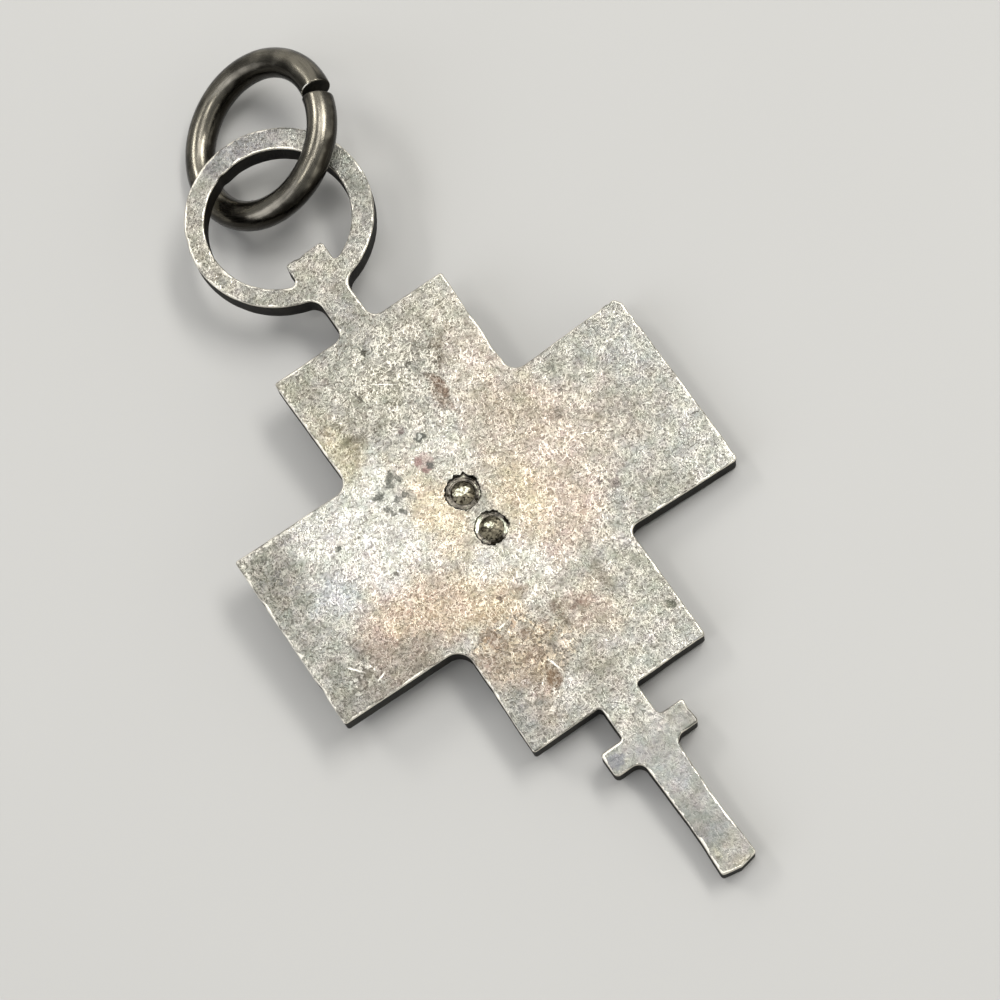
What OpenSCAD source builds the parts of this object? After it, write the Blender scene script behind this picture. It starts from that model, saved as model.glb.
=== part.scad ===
/* [Sheet] */
// Thickness of the sheet that the cross is cut from
plate_t = 1.0; // [0.8:0.05:1.05]
// Radius of the worn outer corners
corner_r = 0.12; // [0.06:0.01:0.25]
// Radius of the worn outer corner at the upper right
worn_corner_r = 0.32; // [0.15:0.01:0.5]

/* [Arms] */
// From the middle of the cross to the end of the top arm
top_reach = 8.0; // [7.5:0.05:8.5]
// From the middle of the cross to the end of the left arm
left_reach = 8.14; // [7.5:0.05:8.6]
// From the middle of the cross to the end of the foot arm
foot_reach = 7.92; // [7.5:0.05:8.5]
// From the middle of the cross to the end of the right arm
right_reach = 8.0; // [7.5:0.05:8.6]
// Half the width of an arm where it leaves the middle, before the hand-cut differences
arm_half_w = 3.46; // [3.2:0.02:3.7]
// Radius of the inner corners at the top
crotch_top_r = 0.5; // [0.2:0.05:0.8]
// Radius of the inner corner at the lower left
crotch_low_left_r = 0.6; // [0.2:0.05:0.8]
// Radius of the inner corner at the lower right
crotch_low_right_r = 0.32; // [0.2:0.02:0.8]

/* [Loop] */
// Outer radius of the hanging loop
loop_r = 3.4; // [3.1:0.05:3.6]
// Radius of the opening in the loop
opening_r = 2.62; // [2.3:0.02:2.7]
// From the middle of the cross to the middle of the loop
loop_y = 13.09; // [12.9:0.02:13.4]
// Half the width of the neck under the loop
neck_half_w = 0.61; // [0.5:0.01:0.8]
// Radius where the neck runs into the arm below it
neck_foot_r = 0.42; // [0.2:0.02:0.6]
// Radius where the neck runs into the loop above it
neck_head_r = 0.54; // [0.3:0.02:0.6]
// Top of the small tab that stands into the opening
tab_top_y = 11.42; // [11.2:0.02:11.7]
// Half the width of the tab
tab_half_w = 0.78; // [0.6:0.02:1.0]

/* [Pin] */
// Half the width of the stem above the crossbar
stem_half_w = 0.74; // [0.6:0.02:0.9]
// Upper edge of the crossbar
bar_top_y = -9.21; // [-9.4:0.01:-9.0]
// Lower edge of the crossbar
bar_low_y = -10.18; // [-10.4:0.01:-9.9]
// Half the width of the crossbar
bar_half_w = 1.68; // [1.4:0.02:2.0]
// Half the width of the pin under the crossbar
pin_root_half_w = 0.69; // [0.6:0.01:0.8]
// Half the width of the pin at its waist
pin_waist_half_w = 0.625; // [0.5:0.01:0.7]
// Half the width of the pin at its tip
pin_tip_half_w = 0.7; // [0.6:0.01:0.8]
// Lowest point of the pin
pin_tip_y = -14.95; // [-15.6:0.05:-14.0]

/* [Rivets] */
// Diameter of the wire that each rivet is cut from
rivet_d = 0.8; // [0.6:0.02:1.0]
// Height of the domed rivet end above the bottom of its recess
rivet_dome_h = 0.2; // [0.1:0.01:0.3]
// Across the punched recess round the upper rivet
upper_recess_d = 1.3; // [1.1:0.02:1.5]
// Across the punched recess round the lower rivet
lower_recess_d = 1.22; // [1.1:0.02:1.5]
// Depth of each recess
recess_h = 0.16; // [0.08:0.01:0.25]
// Middle of the upper rivet, across the cross
upper_rivet_x = -0.36; // [-1.5:0.01:1.5]
// Middle of the upper rivet, along the cross
upper_rivet_y = 0.93; // [0.9:0.01:2]
// Middle of the lower rivet, across the cross
lower_rivet_x = -0.26; // [-1.5:0.01:1.5]
// Middle of the lower rivet, along the cross
lower_rivet_y = -0.67; // [-2:0.01:-0.6]

/* [Jump ring] */
// Diameter of the jump ring's wire
wire_d = 1.1; // [0.9:0.02:1.14]
// Radius of the jump ring to the middle of its wire
ring_r = 2.85; // [2.8:0.01:2.95]
// Width of the cut where the ring's ends meet
ring_gap = 0.16; // [0.05:0.01:0.3]
// Place of the cut around the ring, in degrees from its lowest point
ring_cut = 201; // [190:1:230]

/* [Hidden] */
$fn = 96;

upper_rivet = [upper_rivet_x, upper_rivet_y];
lower_rivet = [lower_rivet_x, lower_rivet_y];
// Clearance between a rivet and its hole
rivet_play = 0.02;
// How far a cutter reaches past the face that it opens, and how far joined shapes overlap
past = 0.1;
lap = 0.3;

// The four arms as they were sawn: turn from the top arm, reach, and how much wider than
// arm_half_w each side is at the root and at the end, seen looking outwards
ARM_TURN = 0;
ARM_REACH = 1;
ROOT_LEFT = 2;
ROOT_RIGHT = 3;
END_LEFT = 4;
END_RIGHT = 5;
ARMS = [
    // turn, reach, root left, root right, end left, end right
    [0, top_reach, 0.01, -0.02, 0.08, 0.06],
    [90, left_reach, 0.09, -0.08, 0.00, -0.01],
    [180, foot_reach, 0.09, -0.06, 0.07, 0.03],
    [270, right_reach, 0.00, -0.04, 0.18, 0.13],
];

// Half the width of arm i on one side, root or end
function half_w(i, side) = arm_half_w + ARMS[i][side];

// Inner corners, where two neighbouring arms' sides meet, found from their widths at the root
CROTCH_AT = 0;
CROTCH_TURN = 1;
CROTCH_R = 2;
CROTCHES = [
    // place, turn, radius
    [[half_w(0, ROOT_RIGHT), half_w(3, ROOT_LEFT)], 0, crotch_top_r],
    [[-half_w(0, ROOT_LEFT), half_w(1, ROOT_RIGHT)], 90, crotch_top_r],
    [[-half_w(2, ROOT_RIGHT), -half_w(1, ROOT_LEFT)], 180, crotch_low_left_r],
    [[half_w(2, ROOT_LEFT), -half_w(3, ROOT_RIGHT)], 270, crotch_low_right_r],
];

// The opening is a little off the loop's own middle, as it was drilled by eye
opening_c = [-0.07, loop_y - 0.04];
tab_c_x = -0.05;
tab_corner_r = 0.15;
tab_left_r = 0.2;
tab_right_r = 0.12;

// The crossbar and the pin
stem_c_x = -0.06;
bar_c_x = -0.04;
bar_corner_r = 0.12;
bar_worn_corner_r = 0.19;
bar_sharp_corner_r = 0.06;
stem_head_r = 0.13;
stem_foot_r = 0.16;
pin_head_r = 0.36;
pin_c_x = -0.03;
pin_waist_y = -12.9;
pin_corner_r = 0.14;
// The tip bows by this much, on a circle whose middle is on the pin's line
tip_rise = 0.13;
pin_shoulder_y = pin_tip_y + tip_rise;
tip_r = (pow(pin_tip_half_w, 2) + pow(tip_rise, 2)) / (2 * tip_rise);
tip_c = [0, pin_tip_y + tip_r];
// Middle of the small circle that rounds the tip's right corner, seen from the pin's line
tip_corner_x = pin_tip_half_w - pin_corner_r;
tip_corner_c = [tip_corner_x, tip_c.y - sqrt(pow(tip_r - pin_corner_r, 2) - pow(tip_corner_x, 2))];

// The jump ring's middle and the direction of its axis, seen from the flat cross
ring_c = [1.14, 16.23, plate_t - 0.69];
ring_axis = unit([-0.442, 0.26, 0.858]);

function unit(v) = v / norm(v);

// Vector v turned by angle a about the unit vector k
function turned(v, k, a) = v * cos(a) + cross(k, v) * sin(a) + k * (k * v) * (1 - cos(a));

// Point of a rounded corner on the sheet's lower face that lies furthest along -up
function corner_low(c, r, up) =
    let (flat = unit([up.x, up.y])) [c.x - r * flat.x, c.y - r * flat.y, 0];

// Point of the jump ring that lies furthest along -up
function ring_low(up) = ring_c - unit(up - ring_axis * (up * ring_axis)) * ring_r - up * wire_d / 2;

// The charm leans on three points: the pin's right corner, the right arm's lower corner and
// the jump ring. Each pass takes the plane through the three for the floor.
pin_corner_c = [pin_c_x, 0] + tip_corner_c;
arm_corner_c = [right_reach - corner_r, -half_w(3, END_RIGHT) + corner_r];
function floor_up(up) = let (
        pin = corner_low(pin_corner_c, pin_corner_r, up),
        arm = corner_low(arm_corner_c, corner_r, up)
    ) unit(cross(arm - pin, ring_low(up) - pin));
first_up = unit([0.05, 0.05, 1]);
settle_passes = 8;
function settled(up, passes) = passes == 0 ? up : settled(floor_up(up), passes - 1);
rest_up = settled(first_up, settle_passes);
rest_turn = acos(rest_up.z);
rest_axis = unit(cross(rest_up, [0, 0, 1]));

// Reach of the whole charm along a direction, from its outermost corners and rounds
function flat_reach(c, r, along) =
    c * [along.x, along.y] + r * norm([along.x, along.y]) + plate_t * max(along.z, 0);
function ring_reach(along) =
    ring_c * along + ring_r * norm(along - ring_axis * (along * ring_axis)) + wire_d / 2;
function reach(along) = max(
    flat_reach([-left_reach + corner_r, half_w(1, END_RIGHT) - corner_r], corner_r, along),
    flat_reach([-left_reach + corner_r, -half_w(1, END_LEFT) + corner_r], corner_r, along),
    flat_reach([right_reach - corner_r, -half_w(3, END_RIGHT) + corner_r], corner_r, along),
    flat_reach([right_reach - worn_corner_r, half_w(3, END_LEFT) - worn_corner_r], worn_corner_r, along),
    flat_reach([pin_c_x, pin_tip_y], 0, along),
    ring_reach(along)
);
// The row's X and Y directions, seen from the flat cross
row_x = turned([1, 0, 0], rest_axis, -rest_turn);
row_y = turned([0, 1, 0], rest_axis, -rest_turn);
rest_mid = [(reach(row_x) - reach(-row_x)) / 2, (reach(row_y) - reach(-row_y)) / 2];
rest_low = ring_low(rest_up) * rest_up;

// Turns the flat cross to the way that it rests and stands its lowest points on the floor
module at_rest() {
    translate([-rest_mid.x, -rest_mid.y, -rest_low])
        rotate(a = rest_turn, v = rest_axis)
            children();
}

// Filler for an inner corner at a point, with its open side towards +X and +Y before the turn
module fillet(at, turn, r) {
    translate(at) rotate(turn)
        difference() {
            translate([-lap, -lap]) square(r + lap);
            translate([r, r]) circle(r);
        }
}

// Cutter that rounds an outer corner at a point, with the sheet towards +X and +Y before the turn
module corner_cut(at, turn, r) {
    translate(at) rotate(turn)
        difference() {
            translate([-r, -r]) square(2 * r);
            translate([r, r]) circle(r);
            translate([r, -2 * r]) square(4 * r);
            translate([-2 * r, r]) square(4 * r);
        }
}

// Arm i, which changes width from the inner corners outwards
module arm(i) {
    root_y = arm_half_w;
    rotate(ARMS[i][ARM_TURN])
        polygon([
            [-half_w(i, ROOT_LEFT), 0],
            [-half_w(i, ROOT_LEFT), root_y],
            [-half_w(i, END_LEFT), ARMS[i][ARM_REACH]],
            [half_w(i, END_RIGHT), ARMS[i][ARM_REACH]],
            [half_w(i, ROOT_RIGHT), root_y],
            [half_w(i, ROOT_RIGHT), 0],
        ]);
}

// Rounds the two outer corners of arm i
module arm_corner_cuts(i, left_r, right_r) {
    rotate(ARMS[i][ARM_TURN]) {
        corner_cut([-half_w(i, END_LEFT), ARMS[i][ARM_REACH]], -90, left_r);
        corner_cut([half_w(i, END_RIGHT), ARMS[i][ARM_REACH]], 180, right_r);
    }
}

module cross_outline() {
    difference() {
        for (i = [0 : len(ARMS) - 1]) arm(i);
        arm_corner_cuts(0, corner_r, corner_r);
        arm_corner_cuts(1, corner_r, corner_r);
        arm_corner_cuts(2, corner_r, corner_r);
        arm_corner_cuts(3, worn_corner_r, corner_r);
    }
}

// The neck, with a hollow on each side that runs smoothly into the loop
module neck_outline() {
    hollow_x = neck_half_w + neck_head_r;
    hollow_y = loop_y - sqrt(pow(loop_r + neck_head_r, 2) - pow(hollow_x, 2));
    difference() {
        union() {
            polygon([[-hollow_x, hollow_y], [0, loop_y], [hollow_x, hollow_y]]);
            translate([-hollow_x, top_reach - lap])
                square([2 * hollow_x, hollow_y - top_reach + lap]);
        }
        for (side = [-1, 1]) {
            translate([side * hollow_x, hollow_y]) circle(neck_head_r);
            translate([side * hollow_x - neck_head_r, top_reach - 2 * lap])
                square([2 * neck_head_r, hollow_y - top_reach + 2 * lap]);
        }
    }
    fillet([neck_half_w, top_reach], 0, neck_foot_r);
    fillet([-neck_half_w, top_reach], 90, neck_foot_r);
}

// Height of the opening's lower edge at x
function opening_low(x) = opening_c.y - sqrt(pow(opening_r, 2) - pow(x - opening_c.x, 2));

// The tab: a rounded block on the opening's lower edge
module tab_outline() {
    left = tab_c_x - tab_half_w;
    right = tab_c_x + tab_half_w;
    low = opening_c.y - opening_r - lap;
    difference() {
        translate([left, low]) square([2 * tab_half_w, tab_top_y - low]);
        corner_cut([left, tab_top_y], -90, tab_corner_r);
        corner_cut([right, tab_top_y], 180, tab_corner_r);
    }
    fillet([left, opening_low(left)], 90, tab_left_r);
    fillet([right, opening_low(right)], 0, tab_right_r);
}

module loop_outline() {
    difference() {
        union() {
            translate([0, loop_y]) circle(loop_r);
            neck_outline();
        }
        difference() {
            translate(opening_c) circle(opening_r);
            tab_outline();
        }
    }
}

module crossbar_outline() {
    left = bar_c_x - bar_half_w;
    right = bar_c_x + bar_half_w;
    difference() {
        translate([left, bar_low_y]) square([right - left, bar_top_y - bar_low_y]);
        corner_cut([left, bar_low_y], 0, bar_worn_corner_r);
        corner_cut([right, bar_low_y], 90, bar_sharp_corner_r);
        corner_cut([right, bar_top_y], 180, bar_corner_r);
        corner_cut([left, bar_top_y], 270, bar_corner_r);
    }
}

module stem_outline() {
    low = bar_top_y - lap;
    left = stem_c_x - stem_half_w;
    right = stem_c_x + stem_half_w;
    translate([left, low]) square([2 * stem_half_w, -foot_reach + lap - low]);
    fillet([left, -foot_reach], 180, stem_head_r);
    fillet([right, -foot_reach], 270, stem_head_r);
    fillet([right, bar_top_y], 0, stem_foot_r);
    fillet([left, bar_top_y], 90, stem_foot_r);
}

// Cutter for the right corner of the bowed tip: what lies outside the small circle there
module tip_corner_cut() {
    touch = tip_c + unit(tip_corner_c - tip_c) * (tip_r + lap);
    outside_x = pin_tip_half_w + lap;
    difference() {
        polygon([tip_corner_c, touch, [outside_x, touch.y], [outside_x, tip_corner_c.y]]);
        translate(tip_corner_c) circle(pin_corner_r);
    }
}

// The pin narrows to its waist and spreads a little again to a flat bowed tip
module pin_outline() {
    translate([pin_c_x, 0])
        difference() {
            intersection() {
                polygon([
                    [-pin_root_half_w, bar_low_y + lap],
                    [-pin_waist_half_w, pin_waist_y],
                    [-pin_tip_half_w, pin_shoulder_y],
                    [-pin_tip_half_w, pin_tip_y],
                    [pin_tip_half_w, pin_tip_y],
                    [pin_tip_half_w, pin_shoulder_y],
                    [pin_waist_half_w, pin_waist_y],
                    [pin_root_half_w, bar_low_y + lap],
                ]);
                union() {
                    translate(tip_c) circle(tip_r);
                    translate([-tip_r, tip_c.y]) square([2 * tip_r, bar_low_y + 2 * lap - tip_c.y]);
                }
            }
            tip_corner_cut();
            mirror([1, 0]) tip_corner_cut();
        }
    fillet([pin_c_x - pin_root_half_w, bar_low_y], 180, pin_head_r);
    fillet([pin_c_x + pin_root_half_w, bar_low_y], 270, pin_head_r);
}

// One sheet of metal: the outlines overlap and are joined as solids
module sheet() {
    linear_extrude(plate_t) cross_outline();
    for (crotch = CROTCHES)
        linear_extrude(plate_t) fillet(crotch[CROTCH_AT], crotch[CROTCH_TURN], crotch[CROTCH_R]);
    linear_extrude(plate_t) loop_outline();
    linear_extrude(plate_t) stem_outline();
    linear_extrude(plate_t) crossbar_outline();
    linear_extrude(plate_t) pin_outline();
}

// Drilled hole for a rivet with the shallow punched recess round its end
module rivet_hole(at, recess_d) {
    translate([at.x, at.y, -past]) cylinder(d = rivet_d + 2 * rivet_play, h = plate_t + 2 * past);
    translate([at.x, at.y, plate_t - recess_h]) cylinder(d = recess_d, h = recess_h + past);
}

// Rivet wire, flush on the far face and domed in its recess
module rivet(at) {
    dome_r = (pow(rivet_d / 2, 2) + pow(rivet_dome_h, 2)) / (2 * rivet_dome_h);
    seat_z = plate_t - recess_h;
    translate([at.x, at.y, 0]) {
        cylinder(d = rivet_d, h = seat_z);
        intersection() {
            translate([0, 0, seat_z + rivet_dome_h - dome_r]) sphere(dome_r);
            translate([0, 0, seat_z - past]) cylinder(d = rivet_d, h = rivet_dome_h + 2 * past);
        }
    }
}

// Wire ring, sawn through on its raised side
module open_ring() {
    cut_half_angle = asin(ring_gap / 2 / ring_r);
    rotate(cut_half_angle)
        rotate_extrude(angle = 360 - 2 * cut_half_angle)
            translate([ring_r, 0]) circle(d = wire_d);
}

module cross_plate() {
    color("lightgray")
        at_rest()
            difference() {
                sheet();
                rivet_hole(upper_rivet, upper_recess_d);
                rivet_hole(lower_rivet, lower_recess_d);
            }
}

module rivet_upper() {
    color("gray") at_rest() rivet(upper_rivet);
}

module rivet_lower() {
    color("gray") at_rest() rivet(lower_rivet);
}

// The ring's lowest point lies along its steepest fall, and the cut is counted from there
module jump_ring() {
    lean_axis = unit(cross([0, 0, 1], ring_axis));
    fall = -unit([0, 0, 1] - ring_axis * ring_axis.z);
    level = turned(fall, lean_axis, -acos(ring_axis.z));
    fall_angle = atan2(level.y, level.x);
    color("dimgray")
        at_rest()
            translate(ring_c)
                rotate(a = acos(ring_axis.z), v = lean_axis)
                    rotate(fall_angle + ring_cut)
                        open_ring();
}

cross_plate();
rivet_upper();
rivet_lower();
jump_ring();
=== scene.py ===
import cmath
import math
from collections import namedtuple
from functools import partial

import bpy
import numpy as np
from mathutils import Matrix, Vector, noise
from mathutils.geometry import delaunay_2d_cdt
from mathutils.kdtree import KDTree


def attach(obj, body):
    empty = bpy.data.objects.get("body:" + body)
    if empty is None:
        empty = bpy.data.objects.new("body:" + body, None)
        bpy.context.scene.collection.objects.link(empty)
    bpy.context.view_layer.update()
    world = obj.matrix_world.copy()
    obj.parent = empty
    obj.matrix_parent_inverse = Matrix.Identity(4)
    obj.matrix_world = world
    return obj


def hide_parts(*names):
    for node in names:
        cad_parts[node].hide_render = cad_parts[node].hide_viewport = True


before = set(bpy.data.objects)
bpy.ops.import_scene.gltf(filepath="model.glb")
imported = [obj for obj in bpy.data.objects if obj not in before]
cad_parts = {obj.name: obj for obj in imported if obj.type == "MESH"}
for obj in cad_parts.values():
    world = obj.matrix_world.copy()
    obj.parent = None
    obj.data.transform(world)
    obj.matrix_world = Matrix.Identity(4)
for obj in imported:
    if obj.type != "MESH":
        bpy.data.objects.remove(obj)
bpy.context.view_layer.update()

# The flat cross, in millimetres: X to the right arm, Y to the loop, Z out of the face that shows.
# An outline's points are complex numbers, x + y*1j.
MM = 0.001
SHEET_T = 1.0

# Each arm: its direction, its reach, its half widths at root and end, seen looking outwards, and the radii
# of the inner corner before it and of its own two corners
Arm = namedtuple("Arm", "turn reach root_left root_right end_left end_right crotch_r left_r right_r")
ARMS = (
    Arm(-90, 8.0, 3.46, 3.42, 3.64, 3.59, 0.32, 0.32, 0.22),
    Arm(0, 8.0, 3.47, 3.44, 3.54, 3.52, 0.5, 0.12, 0.12),
    Arm(90, 8.14, 3.55, 3.38, 3.46, 3.45, 0.5, 0.12, 0.12),
    Arm(180, 7.92, 3.55, 3.40, 3.53, 3.49, 0.6, 0.12, 0.12),
)
TOP_ARM = ARMS[1]
FOOT_ARM = ARMS[3]
RIGHT_ARM = ARMS[0]

# Neck, loop and the tab that stands into the opening
LOOP_C = 13.09j
LOOP_R = 3.4
NECK_HALF_W = 0.61
NECK_FOOT_R = 0.42
NECK_HEAD_R = 0.54
OPENING_C = -0.07 + 13.05j
OPENING_R = 2.62
TAB_LEFT = -0.83
TAB_RIGHT = 0.73
TAB_TOP = 11.42
TAB_CORNER_R = 0.15
TAB_LEFT_R = 0.2
TAB_RIGHT_R = 0.12

# Stem, crossbar and pin
STEM_X = -0.06
STEM_HALF_W = 0.74
STEM_HEAD_R = 0.13
STEM_FOOT_R = 0.16
BAR_X = -0.04
BAR_HALF_W = 1.68
BAR_TOP = -9.21
BAR_LOW = -10.18
BAR_CORNER_R = 0.12
BAR_WORN_R = 0.19
PIN_X = -0.03
PIN_ROOT_HALF_W = 0.69
PIN_WAIST_HALF_W = 0.625
PIN_TIP_HALF_W = 0.7
PIN_WAIST_Y = -12.9
PIN_TIP_Y = -14.95
PIN_TIP_RISE = 0.13
PIN_HEAD_R = 0.36
PIN_CORNER_R = 0.14

# Places in each recess: direction and half width in degrees, where it lies on the way from the hole (0) to
# the rim (1), with its half width, and how black (above 0) or burnished (below 0) it is. The black places
# are partly tarnish and partly painted shade, the burnished ones partly painted glints and reflections
UPPER_GLINTS_AND_SHADE = (
    (2, 16, 0.35, 0.15, -0.8),
    (-31, 12, 0.65, 0.15, -0.9),
    (-38, 14, 0.05, 0.15, -0.6),
    (-165, 14, 0.8, 0.2, -0.8),
    (-110, 12, 0.7, 0.2, -0.9),
    (100, 16, 0.4, 0.2, -0.6),
    (60, 10, 0.75, 0.2, -0.8),
    (20, 14, 0.75, 0.3, 1.0),
    (-60, 10, 0.5, 0.4, 0.9),
    (150, 10, 0.6, 0.3, 0.8),
    (-135, 40, 1.0, 0.15, -0.7),
)
# The lower recess's bright crescents are painted reflections, and its black spot is painted shade
LOWER_GLINTS_AND_SHADE = (
    (129, 30, 0.45, 0.35, -2.2),
    (8, 14, 0.1, 0.25, -1.8),
    (-18, 14, 0.25, 0.3, -2.0),
    (-44, 13, 0.6, 0.5, -2.4),
    (-8, 13, 0.8, 0.25, 2.4),
    (-150, 24, 0.5, 0.4, -0.5),
    (75, 25, 0.5, 0.6, 0.3),
    (-105, 38, 0.75, 0.5, 1.3),
    (95, 32, 1.0, 0.15, -1.1),
)

# Rivets and their punched recesses: facet is the hammered flat's middle, with its half sizes and turn,
# soft the directions in which the recess rises gently, tooth the one in which its rim is torn
Rivet = namedtuple("Rivet", "node name centre recess_r seed facet half_sizes turn soft tooth patches")
RIVETS = (
    Rivet(
        "rivet_upper", "upper_rivet", -0.36 + 0.93j, 0.64, 3.0,
        -0.015 + 0.05j, (0.28, 0.14), -10, (-140,), 55, UPPER_GLINTS_AND_SHADE,
    ),
    Rivet(
        "rivet_lower", "lower_rivet", -0.26 - 0.67j, 0.6, 8.0,
        -0.012 + 0.11j, (0.155, 0.125), -16, (129, -35), -111, LOWER_GLINTS_AND_SHADE,
    ),
)
RIVET_R = 0.4
HEAD_R = 0.43
HEAD_RIM_H = 0.04
HEAD_H = 0.15
HEAD_SOFT_RISE = 0.05
HEAD_ROWS = 29
HOLE_R = 0.42
RECESS_H = 0.16

# Jump ring: its middle and axis, seen from the flat cross, and its cut in degrees from its lowest point
WIRE_R = 0.55
RING_R = 2.85
RING_C = Vector((1.14, 16.23, 0.31))
RING_AXIS = Vector((-0.442, 0.26, 0.858)).normalized()
RING_CUT = 201
RING_GAP = 0.16
WIRE_END_R = 0.035

# Wear of the ring: how far its skin stays inside the true wire, how deep its knocks are, how far one end is
# slanted and sunk and over what length, and where round the wire the other end has its burr
RING_INSET = 0.004
RING_KNOCK = 0.006
RING_SLANT = 0.26
RING_SLANT_LENGTH = 0.8
RING_SUNK = 0.05
RING_SUNK_LENGTH = 3
RING_BURR_TURN = 125
RING_BURR_HALF_TURN = 50

# The sawn edge: how far it stays inside the true one, and the rounding of its front and its worn back corner
SAWN_INSET = 0.012
FRONT_CORNER_R = 0.05
BACK_CORNER_R = 0.06

# Material slots of the sheet
FACE, WALL, RECESS, FRONT = range(4)

# Mesh sizes
EDGE_STEP = 0.09
ARC_STEP = math.radians(9)
FACE_STEP = 0.09
RIVET_SEGMENTS = 128
RING_STATIONS = 260
RING_SEGMENTS = 40

# The camera, seen from the flat cross: where it stands, where it looks and how far it is rolled clockwise
CAMERA_AT = Vector((-7.41, -24.38, 92.30))
CAMERA_LOOKS_AT = Vector((0.525, -0.045, SHEET_T))
CAMERA_ROLL = math.radians(35.62)
CAMERA_LENS = 100.0


def flat_to_row(plate):
    """Matrix from the flat cross's millimetres to the row's metres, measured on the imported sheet."""
    normal = Vector((0, 0, 0))
    for face in plate.data.polygons:
        if face.normal.z > 0.9:
            normal += face.normal * face.area
    turn = Vector((0, 0, 1)).rotation_difference(normal).to_matrix()
    levelled = np.array([v.co for v in plate.data.vertices]) @ np.array(turn)
    low = levelled.min(0)
    high = levelled.max(0)
    origin = turn @ Vector((high[0] - RIGHT_ARM.reach * MM, low[1] - PIN_TIP_Y * MM, low[2]))
    return Matrix.Translation(origin) @ turn.to_4x4() @ Matrix.Scale(MM, 4)


TO_ROW = flat_to_row(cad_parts["cross_plate"])


def new_object(name, data):
    """Puts an object with the given data in the scene."""
    obj = bpy.data.objects.new(name, data)
    bpy.context.collection.objects.link(obj)
    return obj


def stand(obj, place, right, up, back):
    """Stands a camera or light at a place in the row, with its axes seen from the flat cross."""
    turn = TO_ROW.to_3x3().normalized() @ Matrix((right, up, back)).transposed()
    obj.matrix_world = Matrix.Translation(place) @ turn.to_4x4()


def place_camera():
    """Stands the camera where the photograph was taken from."""
    data = bpy.data.cameras.new("camera")
    data.lens = CAMERA_LENS
    data.clip_start = 0.005
    data.clip_end = 5
    camera = new_object("camera", data)
    forward = (CAMERA_LOOKS_AT - CAMERA_AT).normalized()
    right = forward.cross(Vector((0, 1, 0))).normalized()
    up = Matrix.Rotation(CAMERA_ROLL, 3, forward) @ right.cross(forward)
    stand(camera, TO_ROW @ CAMERA_AT, forward.cross(up), up, -forward)
    bpy.context.scene.camera = camera


place_camera()


def turned(degrees):
    """The direction that lies so many degrees anticlockwise from X."""
    return cmath.exp(1j * math.radians(degrees))


def directions(count):
    """Evenly spread directions, anticlockwise from X."""
    return np.exp(2j * math.pi * np.arange(count) / count)


def arc(centre, radius, start, end):
    """Points along an arc, with its angles in radians."""
    sweep = end - start
    steps = max(2, math.ceil(abs(sweep) / ARC_STEP), math.ceil(abs(sweep) * radius / EDGE_STEP))
    return [centre + radius * cmath.exp(1j * (start + sweep * k / steps)) for k in range(steps + 1)]


def rounded(before, corner, after, radius):
    """The arc that rounds one corner, tangent to both of its sides."""
    back = (before - corner) / abs(before - corner)
    ahead = (after - corner) / abs(after - corner)
    half = cmath.phase(ahead / back) / 2
    centre = corner + (back + ahead) / abs(back + ahead) * radius / abs(math.sin(half))
    start = corner + back * radius / abs(math.tan(half)) - centre
    end = corner + ahead * radius / abs(math.tan(half)) - centre
    return arc(centre, radius, cmath.phase(start), cmath.phase(start) + cmath.phase(end / start))


def neck_and_loop():
    """The neck's right side, its hollow, the loop round to the left, and the same again mirrored."""
    hollow_x = NECK_HALF_W + NECK_HEAD_R
    hollow = hollow_x + 1j * (LOOP_C.imag - math.sqrt((LOOP_R + NECK_HEAD_R) ** 2 - hollow_x**2))
    to_loop = cmath.phase(LOOP_C - hollow)
    right = arc(hollow, NECK_HEAD_R, math.pi, to_loop)
    loop = arc(LOOP_C, LOOP_R, to_loop - math.pi, 2 * math.pi - to_loop)
    left = [-p.conjugate() for p in reversed(right)]
    return right + loop[1:-1] + left


def pin_corners():
    """Corners and radii from the foot arm's left, round the crossbar and the pin, to its right."""
    side = (
        (STEM_X, STEM_HALF_W, -FOOT_ARM.reach, STEM_HEAD_R),
        (STEM_X, STEM_HALF_W, BAR_TOP, STEM_FOOT_R),
        (BAR_X, BAR_HALF_W, BAR_TOP, BAR_CORNER_R),
        (BAR_X, BAR_HALF_W, BAR_LOW, BAR_CORNER_R),
        (PIN_X, PIN_ROOT_HALF_W, BAR_LOW, PIN_HEAD_R),
        (PIN_X, PIN_WAIST_HALF_W, PIN_WAIST_Y, 0),
        (PIN_X, PIN_TIP_HALF_W, PIN_TIP_Y + PIN_TIP_RISE, PIN_CORNER_R),
    )
    right = [(complex(x + half, y), r) for x, half, y, r in side]
    left = [(complex(x - half, y), r) for x, half, y, r in side]
    left[3] = (left[3][0], BAR_WORN_R)
    return left + [(complex(PIN_X, PIN_TIP_Y), 0)] + right[::-1]


def cross_corners():
    """Every corner of the sheet's outer outline, anticlockwise, as (point, radius)."""
    corners = []
    for before, arm in zip((ARMS[-1],) + ARMS[:-1], ARMS):
        turn = turned(arm.turn)
        corners.append((complex(arm.root_right, before.root_left) * turn, arm.crotch_r))
        corners.append((complex(arm.end_right, arm.reach) * turn, arm.right_r))
        if arm is TOP_ARM:
            corners.append((complex(NECK_HALF_W, arm.reach), NECK_FOOT_R))
            corners += [(p, 0) for p in neck_and_loop()]
            corners.append((complex(-NECK_HALF_W, arm.reach), NECK_FOOT_R))
        if arm is FOOT_ARM:
            corners += pin_corners()
        corners.append((complex(-arm.end_left, arm.reach) * turn, arm.left_r))
    return corners


def sheet_outline():
    """The sheet's outer outline with its corners rounded, anticlockwise."""
    corners = cross_corners()
    path = []
    for i, (corner, radius) in enumerate(corners):
        if radius:
            path += rounded(corners[i - 1][0], corner, corners[(i + 1) % len(corners)][0], radius)
        else:
            path.append(corner)
    return path


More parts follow.
